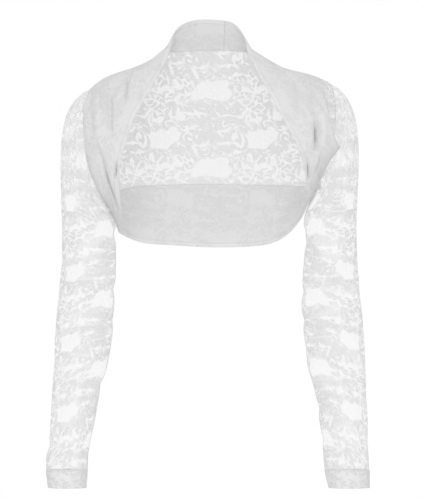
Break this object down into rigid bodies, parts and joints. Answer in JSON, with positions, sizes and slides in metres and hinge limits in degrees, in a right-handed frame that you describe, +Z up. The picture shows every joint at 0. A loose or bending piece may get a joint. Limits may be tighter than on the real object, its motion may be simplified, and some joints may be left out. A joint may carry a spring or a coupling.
{
  "type": "bolero",
  "caption": "Cropped long-sleeved stretch-lace bolero, worn open, with a doubled band as collar, fronts and hem; rigid, in the shape it has on a wearer.",
  "frame": {"origin": "midway between the shoulders, at the height of the shoulder line, where the wearer's shoulders hold the garment", "axes": "+Z up, as worn; -Y is the front; +X is the right of someone who looks at the front"},
  "size_m": [0.4841, 0.2047, 0.7024],
  "materials": {
    "lace": "one layer of white stretch lace: fine net with flower and leaf motifs",
    "doubled_lace": "two layers of the same white lace, close to opaque",
    "cuff_lace": "turned-up hem of the same white lace, two layers"
  },
  "bodies": {
    "root": {"back_panel": "lace", "sleeve_left": "lace", "sleeve_right": "lace", "forearm_left": "lace", "forearm_right": "lace", "band_left": "doubled_lace", "band_right": "doubled_lace", "band_hem": "doubled_lace", "cuff_left": "cuff_lace", "cuff_right": "cuff_lace"}
  },
  "joints": []
}
